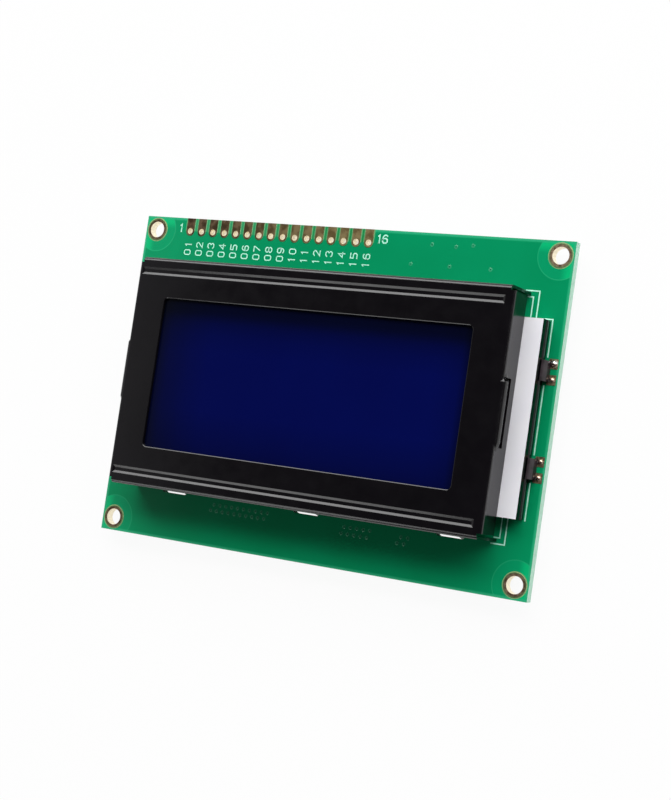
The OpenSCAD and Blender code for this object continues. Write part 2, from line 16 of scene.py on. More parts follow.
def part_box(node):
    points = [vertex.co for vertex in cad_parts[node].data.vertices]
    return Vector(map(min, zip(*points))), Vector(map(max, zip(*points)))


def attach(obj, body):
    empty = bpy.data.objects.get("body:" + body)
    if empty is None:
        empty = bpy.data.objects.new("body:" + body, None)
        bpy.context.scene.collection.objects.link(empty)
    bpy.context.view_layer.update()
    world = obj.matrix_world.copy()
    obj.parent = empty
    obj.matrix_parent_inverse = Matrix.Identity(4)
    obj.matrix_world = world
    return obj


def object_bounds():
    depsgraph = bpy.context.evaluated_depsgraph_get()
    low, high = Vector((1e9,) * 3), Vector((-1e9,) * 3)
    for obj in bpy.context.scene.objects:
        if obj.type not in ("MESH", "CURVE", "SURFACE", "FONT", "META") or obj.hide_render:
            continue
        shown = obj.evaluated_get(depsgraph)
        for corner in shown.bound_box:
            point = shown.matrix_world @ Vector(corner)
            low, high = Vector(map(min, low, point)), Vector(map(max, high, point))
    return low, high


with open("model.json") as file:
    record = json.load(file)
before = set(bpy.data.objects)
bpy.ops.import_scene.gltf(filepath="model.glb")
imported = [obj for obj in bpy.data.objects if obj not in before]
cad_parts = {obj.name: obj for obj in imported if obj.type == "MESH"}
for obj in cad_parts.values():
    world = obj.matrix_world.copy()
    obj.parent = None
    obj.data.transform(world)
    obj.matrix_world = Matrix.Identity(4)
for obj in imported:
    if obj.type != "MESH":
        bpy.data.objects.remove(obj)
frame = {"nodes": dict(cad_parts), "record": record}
CAD_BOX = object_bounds()
NODES = frame["nodes"]
MM = 0.001


# ---- what the frame says ----


def node_box(name):
    """The lowest and the highest corner of a CAD node."""
    low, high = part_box(name)
    return Vector(low), Vector(high)


BOARD_LOW, BOARD_HIGH = node_box("pcb")
FRONT_Z = BOARD_HIGH.z
BACK_Z = BOARD_LOW.z

MOUNTS = {mount["name"]: mount for mount in frame["record"]["mounts"]}
HOLE_DIMS = MOUNTS["mounting_holes"]["dims"]
MOUNT_X = HOLE_DIMS["spacing_x_mm"] * MM / 2
MOUNT_Y = HOLE_DIMS["spacing_y_mm"] * MM / 2

HEADER = MOUNTS["header_row"]
HEADER_COUNT = HEADER["dims"]["count"]
HEADER_PITCH = HEADER["dims"]["spacing_x_mm"] * MM
HEADER_LENGTH = HEADER_PITCH * (HEADER_COUNT - 1)
HEADER_X = HEADER["pos_m"][0] - HEADER_LENGTH / 2
HEADER_Y = HEADER["pos_m"][1]
PADS_LOW, PADS_HIGH = node_box("header_pads")
PAD_W = PADS_HIGH.x - PADS_LOW.x - HEADER_LENGTH

# The bezel's rim covers the edge of the display's film by this much on every side
FILM_LAP = Vector((1.6 * MM, 1.6 * MM, 0))
FILM_LOW, FILM_HIGH = node_box("front_polarizer")
WINDOW_LOW = FILM_LOW + FILM_LAP
WINDOW_HIGH = FILM_HIGH - FILM_LAP


# ---- colours and node materials ----

# Sockets of the Mix node that carry colours
MIX_FIRST = 6
MIX_SECOND = 7
MIX_RESULT = 2

# How much of a face's normal points up or down, from that of a wall to that of a flat face
UPRIGHT_TO_FLAT = (0.4, 0.6)


def srgb(red, green, blue):
    """A colour given as it is seen on a screen, 0 to 255, as the shader's linear numbers."""
    def linear(value):
        value /= 255
        return value / 12.92 if value <= 0.04045 else ((value + 0.055) / 1.055) ** 2.4

    return (linear(red), linear(green), linear(blue), 1.0)


def feed(tree, socket, value):
    """Sets a socket from a number, a colour or another node's output."""
    if isinstance(value, bpy.types.NodeSocket):
        tree.links.new(value, socket)
    else:
        socket.default_value = value


def calculate(tree, operation, *values):
    """The output of a Math node that works on numbers or other nodes' outputs."""
    node = tree.nodes.new("ShaderNodeMath")
    node.operation = operation
    for socket, value in zip(node.inputs, values):
        feed(tree, socket, value)
    return node.outputs[0]


class Finish:
    """A node material round one Principled shader, with short calls for what feeds it."""

    def __init__(self, name, roughness, metallic=0.0, specular=0.5, coat=0.0):
        self.material = bpy.data.materials.new(name)
        self.material.use_nodes = True
        self.tree = self.material.node_tree
        self.shader = self.tree.nodes["Principled BSDF"]
        self.shader.inputs["Roughness"].default_value = roughness
        self.shader.inputs["Metallic"].default_value = metallic
        self.shader.inputs["Specular IOR Level"].default_value = specular
        self.shader.inputs["Coat Weight"].default_value = coat
        self.coord = self.tree.nodes.new("ShaderNodeTexCoord")

    def math(self, operation, *values):
        return calculate(self.tree, operation, *values)

    def plus(self, first, second):
        return self.math("ADD", first, second)

    def minus(self, first, second):
        return self.math("SUBTRACT", first, second)

    def times(self, first, second):
        return self.math("MULTIPLY", first, second)

    def absolute(self, value):
        return self.math("ABSOLUTE", value)

    def split(self, vector):
        """A node with the three parts of one of the point's vectors, Object or Normal."""
        node = self.tree.nodes.new("ShaderNodeSeparateXYZ")
        self.tree.links.new(self.coord.outputs[vector], node.inputs[0])
        return node

    def axis(self, name):
        """One coordinate of the point, in millimetres."""
        return self.times(self.split("Object").outputs[name], 1 / MM)

    def wall(self):
        """1 on faces that stand upright, 0 on faces that lie flat."""
        upward = self.absolute(self.split("Normal").outputs["Z"])
        return self.spread(upward, *UPRIGHT_TO_FLAT, 1, 0)

    def noise(self, size, detail=3.0):
        """Noise with features about size metres across, from 0 to 1."""
        node = self.tree.nodes.new("ShaderNodeTexNoise")
        node.inputs["Scale"].default_value = 1 / size
        node.inputs["Detail"].default_value = detail
        self.tree.links.new(self.coord.outputs["Object"], node.inputs["Vector"])
        return node.outputs["Fac"]

    def spread(self, value, low, high, out_low=0.0, out_high=1.0):
        """value taken smoothly from the range low to high into out_low to out_high."""
        node = self.tree.nodes.new("ShaderNodeMapRange")
        node.interpolation_type = "SMOOTHSTEP"
        feed(self.tree, node.inputs["Value"], value)
        node.inputs["From Min"].default_value = low
        node.inputs["From Max"].default_value = high
        node.inputs["To Min"].default_value = out_low
        node.inputs["To Max"].default_value = out_high
        return node.outputs[0]

    def below(self, value, limit, fade):
        """1 where value is below limit, falling to 0 over the last fade of it."""
        return self.spread(value, limit - fade, limit, 1, 0)

    def wander(self, size, low=0.0, high=1.0, detail=3.0, band=(0.3, 0.7)):
        """A value that drifts from low to high with noise. A narrow band makes hard patches."""
        return self.spread(self.noise(size, detail), *band, low, high)

    def curve(self, value, points):
        """value led through straight lines between (value, result) points."""
        reach = points[-1][0]
        node = self.tree.nodes.new("ShaderNodeValToRGB")
        feed(self.tree, node.inputs["Fac"], self.math("DIVIDE", value, reach))
        stops = node.color_ramp.elements
        stops.remove(stops[1])
        for i, (place, result) in enumerate(points):
            stop = stops.new(place / reach) if i else stops[0]
            stop.position = place / reach
            stop.color = (result, result, result, 1)
        return node.outputs["Color"]

    def blend(self, share, first, second):
        """A colour between first and second."""
        node = self.tree.nodes.new("ShaderNodeMix")
        node.data_type = "RGBA"
        feed(self.tree, node.inputs["Factor"], share)
        feed(self.tree, node.inputs[MIX_FIRST], first)
        feed(self.tree, node.inputs[MIX_SECOND], second)
        return node.outputs[MIX_RESULT]

    def color(self, value):
        feed(self.tree, self.shader.inputs["Base Color"], value)

    def mottle(self, dark, light, size, detail=4.0):
        """Colours the finish with a soft mottle between two colours."""
        self.color(self.blend(self.wander(size, detail=detail), dark, light))

    def rough(self, value):
        feed(self.tree, self.shader.inputs["Roughness"], value)

    def bump(self, height, depth, strength=1.0):
        """A bump as high as height times depth metres. It comes last, and returns the finish."""
        node = self.tree.nodes.new("ShaderNodeBump")
        node.inputs["Distance"].default_value = depth
        node.inputs["Strength"].default_value = strength
        self.tree.links.new(height, node.inputs["Height"])
        self.tree.links.new(node.outputs[0], self.shader.inputs["Normal"])
        return self


# ---- the board ----

# In millimetres: the width of the board's rim and the radius round a mounting hole that have no
# copper under the mask, and the mask's edge round a mounting ring and round a header pad
EDGE_BARE = 0.5
HOLE_BARE_R = 4.1
RING_EDGE_R = 2.28
PAD_RIM = 0.2

# How softly these begin or end, in millimetres, and how far the painted glow of light through the
# board's rim reaches inwards
EDGE_FADE = (-0.1, 0.3)
HOLE_FADE = 0.1
RING_FADE = 0.06
PAD_FADE = 0.04
PAINTED_GLOW_FADE = (-1.9, -0.2)

# The light line where the copper ends round a hole: its fade outwards, and its strength
LINE_FADE = (0.04, 0.14)
LINE_SHARE = 0.45

# In millimetres along X: between these two places the colours of the header row change
ROW_DRIFT = (-36, 8)

MASK_COPPER = srgb(4, 143, 91)
MASK_MOTTLE = srgb(5, 147, 95)
MASK_HOLE = srgb(8, 153, 100)
MASK_PAINTED_GLOW = srgb(10, 184, 116)
MASK_LINE = srgb(40, 176, 122)
MASK_EDGE = srgb(46, 174, 124)
BETWEEN_PADS = (srgb(54, 156, 104), srgb(30, 134, 72))
PAD_EDGE = srgb(100, 172, 118)
RING_EDGE = srgb(150, 178, 124)
LAMINATE = srgb(202, 240, 220)
LAMINATE_DARK = srgb(178, 222, 198)

MASK_ROUGH = 0.16
LAMINATE_ROUGH = 0.75

# The glass weave's turns, in radians a millimetre, and what makes up the relief's height
WEAVE = 12
WEAVE_SHARE = 0.02
GRAIN_SHARE = 0.15
STEP_SHARE = 0.6


def mount_distance(look):
    """How far the point is from the middle of the nearest mounting hole, in millimetres."""
    across = look.minus(look.absolute(look.axis("X")), MOUNT_X / MM)
    along = look.minus(look.absolute(look.axis("Y")), MOUNT_Y / MM)
    return look.math("SQRT", look.plus(look.times(across, across), look.times(along, along)))


def header_area(look, across, along):
    """The edges of the header pads, and the whole field from their row to the board's edge."""
    pitch = HEADER_PITCH / MM
    first = look.minus(across, HEADER_X / MM - pitch / 2)
    off_pad = look.absolute(look.minus(look.math("FLOORED_MODULO", first, pitch), pitch / 2))
    near_pad = look.below(off_pad, PAD_W / 2 / MM + PAD_RIM, PAD_FADE)
    middle = (PADS_LOW.x + PADS_HIGH.x) / 2 / MM
    reach = (PADS_HIGH.x - PADS_LOW.x) / 2 / MM + PAD_RIM
    in_row = look.math("LESS_THAN", look.absolute(look.minus(across, middle)), reach)
    above = look.math("GREATER_THAN", along, HEADER_Y / MM)
    field = look.times(in_row, above)
    return look.times(near_pad, field), field


def mask_color(look, across, along):
    """Greens of the mask, and where no copper lies under it: at the rim and round the holes, with a
    painted glow of light through the board near its edges.
    """
    hole_r = mount_distance(look)
    past_end = look.minus(look.absolute(across), BOARD_HIGH.x / MM - EDGE_BARE)
    past_side = look.minus(look.absolute(along), BOARD_HIGH.y / MM - EDGE_BARE)
    past_top = look.minus(along, BOARD_HIGH.y / MM - EDGE_BARE)
    near_hole = look.below(hole_r, HOLE_BARE_R + HOLE_FADE / 2, HOLE_FADE)
    near_edge = look.spread(look.math("MAXIMUM", past_end, past_side), *EDGE_FADE)
    # Painted light: the glow of light through the board, reaching in from its ends and its upper edge
    glow = look.spread(look.math("MAXIMUM", past_end, past_top), *PAINTED_GLOW_FADE)
    off_line = look.absolute(look.minus(hole_r, HOLE_BARE_R))
    pad_edges, header_field = header_area(look, across, along)
    green = look.blend(look.wander(14 * MM, detail=2.0), MASK_COPPER, MASK_MOTTLE)
    green = look.blend(near_hole, green, MASK_HOLE)
    green = look.blend(look.times(glow, near_hole), green, MASK_PAINTED_GLOW)
    green = look.blend(look.spread(off_line, *LINE_FADE, LINE_SHARE, 0), green, MASK_LINE)
    green = look.blend(near_edge, green, MASK_EDGE)
    between = look.blend(look.spread(across, *ROW_DRIFT), *BETWEEN_PADS)
    green = look.blend(header_field, green, between)
    green = look.blend(pad_edges, green, PAD_EDGE)
    green = look.blend(look.below(hole_r, RING_EDGE_R, RING_FADE), green, RING_EDGE)
    return green, look.math("MAXIMUM", near_hole, near_edge)


def mask_relief(look, across, along, bare):
    """Height of the mask: a faint glass weave, a grain, and a step down where no copper is."""
    weave = look.plus(look.math("SINE", look.times(across, WEAVE)),
                      look.math("SINE", look.times(along, WEAVE)))
    step = look.minus(look.times(weave, WEAVE_SHARE), look.times(bare, STEP_SHARE))
    return look.plus(step, look.times(look.noise(0.3 * MM), GRAIN_SHARE))


def board_finish():
    """Glossy green mask, lighter where no copper lies under it, with a painted glow near the board's
    edges, and a pale laminate edge.
    """
    look = Finish("solder_mask", MASK_ROUGH, specular=0.3)
    across = look.axis("X")
    along = look.axis("Y")
    green, bare = mask_color(look, across, along)
    laminate = look.blend(look.noise(0.4 * MM), LAMINATE, LAMINATE_DARK)
    wall = look.wall()
    look.color(look.blend(wall, green, laminate))
    look.rough(look.spread(wall, 0, 1, MASK_ROUGH, LAMINATE_ROUGH))
    return look.bump(mask_relief(look, across, along, bare), depth=0.02 * MM)


# ---- the bezel, the display and the backlight ----

# Painted shade of the bezel's rim on the film: its brightness at distances in millimetres from each
# edge of the window
PAINTED_SHADE_TOP = [(0, 0.14), (1.6, 0.16), (2.3, 0.23), (3, 0.38), (3.8, 0.57), (4.6, 0.68), (6, 0.84), (9, 1)]
PAINTED_SHADE_BOTTOM = [(0, 0.6), (1.6, 0.7), (3.6, 0.8), (7.6, 1)]
PAINTED_SHADE_LEFT = [(0, 0.2), (1.5, 0.4), (2.5, 0.53), (5, 0.67), (7, 0.82), (11, 1)]
PAINTED_SHADE_RIGHT = [(0, 0.45), (0.8, 0.58), (1.6, 0.82), (3.5, 0.92), (6, 1)]
FILM_SHADE = srgb(4, 6, 10)
FILM_BLUES = (srgb(4, 10, 72), srgb(4, 11, 75))

# The darker mottle of plain films and resins, as a share of their colour
FILM_DARKER = 0.9

# The elastomer's layers, in radians a millimetre, and how sharply they change
LAYERS = 60
LAYER_FADE = (-0.2, 0.2)


def bezel_finish():
    """Black stoved paint on pressed steel, smooth enough to mirror what is close to it."""
    look = Finish("black_paint", roughness=0.2, specular=0.56)
    look.mottle(srgb(10, 8, 11), srgb(13, 11, 14), size=6 * MM)
    look.rough(look.wander(2.5 * MM, 0.15, 0.21))
    return look.bump(look.noise(0.35 * MM, detail=2.0), depth=0.004 * MM, strength=0.6)


def display_finish():
    """Deep blue film with painted shade towards the window's edges, most of all under the upper one,
    where the bezel's rim shades it.
    """
    look = Finish("blue_film", roughness=0.12, specular=0.12)
    across = look.axis("X")
    along = look.axis("Y")
    # Painted shade: the film darkens towards each edge of the window, as under the bezel's rim
    light = look.curve(look.minus(WINDOW_HIGH.y / MM, along), PAINTED_SHADE_TOP)
    light = look.times(light, look.curve(look.minus(along, WINDOW_LOW.y / MM), PAINTED_SHADE_BOTTOM))
    light = look.times(light, look.curve(look.minus(across, WINDOW_LOW.x / MM), PAINTED_SHADE_LEFT))
    light = look.times(light, look.curve(look.minus(WINDOW_HIGH.x / MM, across), PAINTED_SHADE_RIGHT))
    middle = look.blend(look.wander(22 * MM, detail=2.0, band=(0.35, 0.65)), *FILM_BLUES)
    look.color(look.blend(light, FILM_SHADE, middle))
    look.rough(look.wander(9 * MM, 0.115, 0.13, detail=1.0))
    return look.bump(look.noise(0.2 * MM, detail=1.0), depth=0.0006 * MM, strength=0.3)


def film_finish(name, color, roughness):
    """Even film or resin of a colour, with a faint darker mottle."""
    look = Finish(name, roughness)
    darker = tuple(FILM_DARKER * part for part in color[:3]) + (1.0,)
    look.mottle(darker, color, size=3 * MM)
    return look.bump(look.noise(0.5 * MM), depth=0.004 * MM, strength=0.5)


def glass_finish():
    """Clear soda glass, with the faint ripple of a polished sheet."""
    look = Finish("cell_glass", roughness=0.02)
    look.shader.inputs["Transmission Weight"].default_value = 0.9
    look.mottle(srgb(214, 232, 232), srgb(228, 240, 240), size=12 * MM)
    return look.bump(look.noise(8 * MM, detail=1.0), depth=0.002 * MM, strength=0.3)


def stripe_finish():
    """Elastomer strip: thin dark carbon layers between light silicone."""
    look = Finish("zebra_rubber", roughness=0.6)
    wave = look.math("SINE", look.times(look.axis("X"), LAYERS))
    layer = look.spread(wave, *LAYER_FADE)
    look.color(look.blend(layer, srgb(38, 38, 40), srgb(196, 196, 190)))
    return look.bump(wave, depth=0.005 * MM, strength=0.5)


def moulded_finish():
    """White moulded plastic with a fine spark-eroded grain."""
    look = Finish("white_moulding", roughness=0.42)
    look.mottle(srgb(249, 248, 254), srgb(252, 251, 255), size=5 * MM)
    return look.bump(look.noise(0.12 * MM, detail=2.0), depth=0.004 * MM, strength=0.5)


def tape_finish(name, dark, light, specular):
    """Black film tape, a little wrinkled."""
    look = Finish(name, roughness=0.18, specular=specular)
    look.mottle(dark, light, size=1.5 * MM)
    return look.bump(look.noise(0.6 * MM), depth=0.02 * MM, strength=0.6)


def lamp_finish():
    """Phosphor face of the diodes in their white resin."""
    look = Finish("diode_resin", roughness=0.35)
    look.mottle(srgb(236, 222, 130), srgb(248, 240, 190), size=0.8 * MM)
    return look.bump(look.noise(0.3 * MM), depth=0.006 * MM, strength=0.5)


# ---- metal, ink and the small parts of the board ----

# Along Y in millimetres: the solder turns from coppery to clean between these places
CLEAN_FROM = (9.3, 9.7)

# The roughness of metal and the size of its patches, as shares of the finish's own values
METAL_ROUGH = (0.75, 1.3)
METAL_PATCH = 0.7

# Painted light: the holes' walls are nearly white, as bright as the light that shows through the holes
HOLE_WALL_PAINTED_LIGHT = srgb(255, 246, 222)
MASK_LAP = srgb(140, 184, 126)
MASK_LAP_W = 0.24
PLATED_ROUGH = 0.34
HOLE_WALL_ROUGH = 0.5


def metal_finish(name, dark, light, roughness, grain, depth):
    """Bare or tinned metal with a grain of the given size and depth."""
    look = Finish(name, roughness, metallic=1.0)
    look.mottle(dark, light, size=grain)
    smooth, coarse = METAL_ROUGH
    look.rough(look.wander(grain * METAL_PATCH, roughness * smooth, roughness * coarse))
    return look.bump(look.noise(grain, detail=4.0), depth, strength=0.7)


def plated_finish(name, patch, dark, light, masked_r=None):
    """Plated copper: tarnished in patches on the pads, and pale inside the holes, where painted light
    makes the walls nearly white.

    A patch is about patch metres wide. dark and light are each a pair of colours, for the left
    end of the header row and for the right. Outside a radius of masked_r millimetres round a
    mounting hole, the green mask laps over the copper.
    """
    look = Finish(name, PLATED_ROUGH, metallic=0.85)
    drift = look.spread(look.axis("X"), *ROW_DRIFT)
    tarnish = look.wander(patch, detail=5.0, band=(0.38, 0.62))
    face = look.blend(tarnish, look.blend(drift, *dark), look.blend(drift, *light))
    if masked_r:
        lap = look.spread(mount_distance(look), masked_r, masked_r + MASK_LAP_W)
        face = look.blend(lap, face, MASK_LAP)
    wall = look.wall()
    look.color(look.blend(wall, face, HOLE_WALL_PAINTED_LIGHT))
    look.rough(look.spread(wall, 0, 1, PLATED_ROUGH, HOLE_WALL_ROUGH))
    return look.bump(look.noise(0.25 * MM), depth=0.01 * MM, strength=0.6)


def ring_finish():
    """Plating of the rings round the mounting holes."""
    dark = (srgb(108, 84, 62), srgb(140, 114, 88))
    light = (srgb(164, 138, 108), srgb(206, 180, 146))
    return plated_finish("plated_rings", 0.8 * MM, dark, light, masked_r=1.82)


def pad_finish():
    """Plating of the header pads."""
    dark = (srgb(88, 68, 50), srgb(152, 130, 84))
    light = (srgb(146, 118, 92), srgb(204, 182, 128))
    return plated_finish("plated_pads", 1.4 * MM, dark, light)


def solder_finish():
    """Solder domes: the joint nearest the header is clean and bright, the others show copper."""
    look = Finish("solder", roughness=0.2, metallic=1.0)
    silver = look.blend(look.noise(0.5 * MM), srgb(190, 190, 192), srgb(240, 240, 240))
    copper = look.blend(look.noise(0.4 * MM), srgb(178, 138, 112), srgb(240, 220, 206))
    clean = look.spread(look.axis("Y"), *CLEAN_FROM)
    look.color(look.blend(clean, copper, silver))
    look.rough(look.wander(0.3 * MM, 0.16, 0.32))
    return look.bump(look.noise(0.35 * MM, detail=4.0), depth=0.06 * MM, strength=0.7)


def ink_finish():
    """White screen-printed ink, thin enough for the green to tint it a little."""
    look = Finish("white_ink", roughness=0.6, specular=0.2)
    look.mottle(srgb(166, 244, 216), srgb(206, 254, 236), size=0.35 * MM)
    return look.bump(look.noise(0.15 * MM), depth=0.006 * MM, strength=0.5)


def epoxy_finish():
    """Black potting epoxy that set glossy, with slow ripples."""
    look = Finish("potting_epoxy", roughness=0.16, coat=0.4)
    look.mottle(srgb(14, 14, 16), srgb(24, 24, 27), size=3 * MM)
    return look.bump(look.noise(2.2 * MM, detail=2.0), depth=0.05 * MM, strength=0.6)


def ceramic_finish(name, dark, light):
    """Glazed ceramic of the resistors and capacitors."""
    look = Finish(name, roughness=0.3)
    look.mottle(dark, light, size=0.5 * MM)
    return look.bump(look.noise(0.2 * MM), depth=0.006 * MM, strength=0.5)


def raised_mask_finish(name, dark, light):
    """Green mask over raised copper."""
    look = Finish(name, roughness=0.25, coat=0.3)
    look.mottle(dark, light, size=1.0 * MM)
    return look.bump(look.noise(0.2 * MM), depth=0.004 * MM, strength=0.5)


def mouth_finish():
    """The mouth of a small plated hole, darker than the mask round it."""
    look = Finish("via_mouth", roughness=0.6, specular=0.2)
    look.mottle(srgb(16, 108, 72), srgb(34, 132, 94), size=0.1 * MM)
    return look.bump(look.noise(0.1 * MM), depth=0.01 * MM, strength=0.5)


# ---- which node wears which finish ----

GLASS = glass_finish()
ZEBRA = stripe_finish()
WHITE_FILM = film_finish("white_film", srgb(238, 238, 240), 0.5)
INK = ink_finish()
EPOXY = epoxy_finish()
TINNED = metal_finish("tinned_metal", srgb(176, 172, 168), srgb(214, 212, 208),
                      roughness=0.3, grain=0.3 * MM, depth=0.01 * MM)
BARE_COPPER = metal_finish("bare_copper", srgb(150, 132, 100), srgb(206, 184, 152),
                           roughness=0.4, grain=0.3 * MM, depth=0.02 * MM)

NODE_FINISHES = {
    "pcb": board_finish(),
    "bezel": bezel_finish(),
    "front_polarizer": display_finish(),
    "rear_polarizer": film_finish("rear_film", srgb(40, 44, 110), 0.2),
    "front_glass": GLASS,
    "rear_glass": GLASS,
    "cell_seal": film_finish("seal_epoxy", srgb(210, 208, 190), 0.6),
    "crystal_layer": film_finish("crystal_film", srgb(20, 30, 140), 0.2),
    "zebra_strip_top": ZEBRA,
    "zebra_strip_bottom": ZEBRA,
    "backlight_housing": moulded_finish(),
    "light_guide": film_finish("clear_acrylic", srgb(226, 240, 246), 0.15),
    "diffuser_film": WHITE_FILM,
    "reflector_film": WHITE_FILM,
    "led_strip_board": film_finish("strip_mask", srgb(8, 18, 14), 0.12),
    "led_chips": lamp_finish(),
    # The black tape's faint green tint is a painted reflection of the green board
    "backlight_tape": tape_finish("black_tape_green_reflection", srgb(6, 9, 9), srgb(14, 17, 17), 0.22),
    "lead_covers": tape_finish("lead_tape", srgb(28, 22, 25), srgb(52, 43, 48), 0.4),
    "backlight_leads": TINNED,
    "solder_joints": solder_finish(),
    "mounting_pads": ring_finish(),
    "header_pads": pad_finish(),
    "backlight_pads": BARE_COPPER,
    "front_outline_print": INK,
    "back_outline_print": INK,
    "controller_cap": EPOXY,
    "driver_cap_left": EPOXY,
    "driver_cap_right": EPOXY,
    "resistor_bodies": ceramic_finish("resistor_glaze", srgb(18, 18, 20), srgb(34, 34, 38)),
    "capacitor_bodies": ceramic_finish("capacitor_body", srgb(166, 128, 86), srgb(190, 152, 108)),
    "chip_terminals": TINNED,
}

for node_name, node_finish in NODE_FINISHES.items():
    node_mesh = NODES[node_name].data
    node_mesh.materials.clear()
    node_mesh.materials.append(node_finish.material)


# ---- pieces that this script adds to the board ----

# Points closer than this are one point
SAME_POINT = 1e-8

# No corner reaches further from its point than half the line's width over this
MITER_LEAST = 0.5


def finish_piece(mesh, name, finish):
    """Turns a bmesh into a piece that rides on the board, with doubled points joined."""
    bmesh.ops.remove_doubles(mesh, verts=mesh.verts, dist=SAME_POINT)
    bmesh.ops.recalc_face_normals(mesh, faces=mesh.faces)
    data = bpy.data.meshes.new(name)
    mesh.to_mesh(data)
    mesh.free()
    data.materials.append(finish.material)
    piece = bpy.data.objects.new(name, data)
    bpy.context.scene.collection.objects.link(piece)
    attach(piece, "root")


def bridge(mesh, rings):
    """Faces that join each closed ring of points to the next one."""
    count = len(rings[0])
    for near, far in zip(rings, rings[1:]):
        for k in range(count):
            after = (k + 1) % count
            mesh.faces.new((near[k], near[after], far[after], far[k]))


def line_sides(points, width, closed):
    """The left and right corner of a line of even width at each of its points, mitred."""
    around = [points[-2], *points, points[1]] if closed else [None, *points, None]
    sides = []
    for before, point, after in zip(around, around[1:], around[2:]):
        ways = [(before, point), (point, after)]
        steps = [(b - a).normalized() for a, b in ways if a is not None and b is not None]
        normals = [Vector((-step.y, step.x)) for step in steps]
        miter = sum(normals, Vector((0, 0))).normalized()
        miter *= width / 2 / max(MITER_LEAST, miter.dot(normals[0]))
        end = Vector((0, 0))
        if before is None:
            end = -steps[0] * width / 2
        if after is None:
            end = steps[0] * width / 2
        sides.append((point + miter + end, point - miter + end))
    return sides


def ribbon(mesh, points, width, low, high):
    """A flat line through points, from low to high. Open ends reach on by half the width."""
    points = [Vector(p) for p in points]
    closed = (points[0] - points[-1]).length < SAME_POINT
    rings = []
    for left, right in line_sides(points, width, closed):
        corners = [(left, low), (right, low), (right, high), (left, high)]
        rings.append([mesh.verts.new((p.x, p.y, z)) for p, z in corners])
    bridge(mesh, rings)
    if not closed:
        mesh.faces.new(rings[0])
        mesh.faces.new(rings[-1])


def turned(mesh, x, y, profile, turns=20):
    """Sweeps a profile of (radius, height) points round (x, y). Returns each point's ring."""
    rings = []
    for radius, z in profile:
        ring = []
        for k in range(turns):
            angle = 2 * math.pi * k / turns
            place = (x + radius * math.cos(angle), y + radius * math.sin(angle), z)
            ring.append(mesh.verts.new(place))
        rings.append(ring)
    bridge(mesh, rings)
    return rings


# ---- printed pin numbers ----

INK_T = 0.02 * MM

# Each digit is a few lines through points on a grid of 4 by 6
DIGIT_W = 4
DIGIT_H = 6
STROKES = {
    "0": [[(1, 0), (3, 0), (4, 1), (4, 5), (3, 6), (1, 6), (0, 5), (0, 1), (1, 0)]],
    "1": [[(1, 5), (2, 6), (2, 0)]],
    "2": [[(0, 5), (1, 6), (3, 6), (4, 5), (4, 4), (0, 0), (4, 0)]],
    "3": [[(0, 5), (1, 6), (3, 6), (4, 5), (4, 4), (3, 3), (4, 2), (4, 1), (3, 0), (1, 0), (0, 1)]],
    "4": [[(3, 0), (3, 6), (0, 2), (4, 2)]],
    "5": [[(4, 6), (0, 6), (0, 3.5), (3, 3.5), (4, 2.5), (4, 1), (3, 0), (0, 0)]],
    "6": [[(3.7, 5.4), (2.8, 6), (1.5, 6), (0.4, 5), (0, 3.5), (0, 1.2), (0.9, 0), (3.1, 0),
           (4, 1), (4, 2.4), (3.1, 3.4), (0.9, 3.4), (0, 2.5)]],
    "7": [[(0, 6), (4, 6), (4, 5), (1, 0)]],
    "8": [[(1, 3), (0, 4), (0, 5), (1, 6), (3, 6), (4, 5), (4, 4), (3, 3), (1, 3)],
          [(1, 3), (0, 2), (0, 1), (1, 0), (3, 0), (4, 1), (4, 2), (3, 3)]],
}
STROKES["9"] = [[(DIGIT_W - x, DIGIT_H - y) for x, y in line] for line in STROKES["6"]]

# The space between two digits is a share of their height
PIN_TEXT_H = 1.3 * MM
PIN_TEXT_Y = 23.15 * MM
PIN_STROKE = 0.19 * MM
PIN_SPACE = 0.48

# The larger first and last number stand these distances left and right of the end pins
END_TEXT_H = 1.39 * MM
END_STROKE = 0.23 * MM
END_SPACE = 0.12
FIRST_TEXT_LEFT = 2.5 * MM
FIRST_TEXT_Y = 27.42 * MM
LAST_TEXT_RIGHT = 1.65 * MM
LAST_TEXT_Y = 27.7 * MM


def write(mesh, text, corner, along, height, stroke, space):
    """Writes digits from corner, reading along the direction along, their tops to its left."""
    corner = Vector(corner)
    along = Vector(along)
    up = Vector((-along.y, along.x))
    unit = height / DIGIT_H
    cursor = 0.0
    for digit in text:
        for line in STROKES[digit]:
            points = [corner + along * (cursor + x * unit) + up * y * unit for x, y in line]
            ribbon(mesh, points, stroke, FRONT_Z, FRONT_Z + INK_T)
        cursor += DIGIT_W * unit + space * height


def print_pin_numbers():
    """The number of each header pin, reading upwards, and larger ones at both ends of the row."""
    mesh = bmesh.new()
    for pin in range(HEADER_COUNT):
        corner = (HEADER_X + pin * HEADER_PITCH + PIN_TEXT_H / 2, PIN_TEXT_Y)
        write(mesh, f"{pin + 1:02d}", corner, (0, 1), PIN_TEXT_H, PIN_STROKE, PIN_SPACE)
    first = (HEADER_X - FIRST_TEXT_LEFT, FIRST_TEXT_Y)
    last = (HEADER_X + HEADER_LENGTH + LAST_TEXT_RIGHT, LAST_TEXT_Y)
    for text, corner in (("1", first), (str(HEADER_COUNT), last)):
        write(mesh, text, corner, (1, 0), END_TEXT_H, END_STROKE, END_SPACE)
    finish_piece(mesh, "pin_numbers", INK)


# ---- small plated holes ----

VIA_R = 0.36 * MM
VIA_SHOULDER_R = 0.85 * VIA_R
VIA_HOLE_R = 0.13 * MM
VIA_FLOOR_R = 0.4 * VIA_HOLE_R
VIA_H = 0.02 * MM
VIA_RIM_H = 0.3 * VIA_H

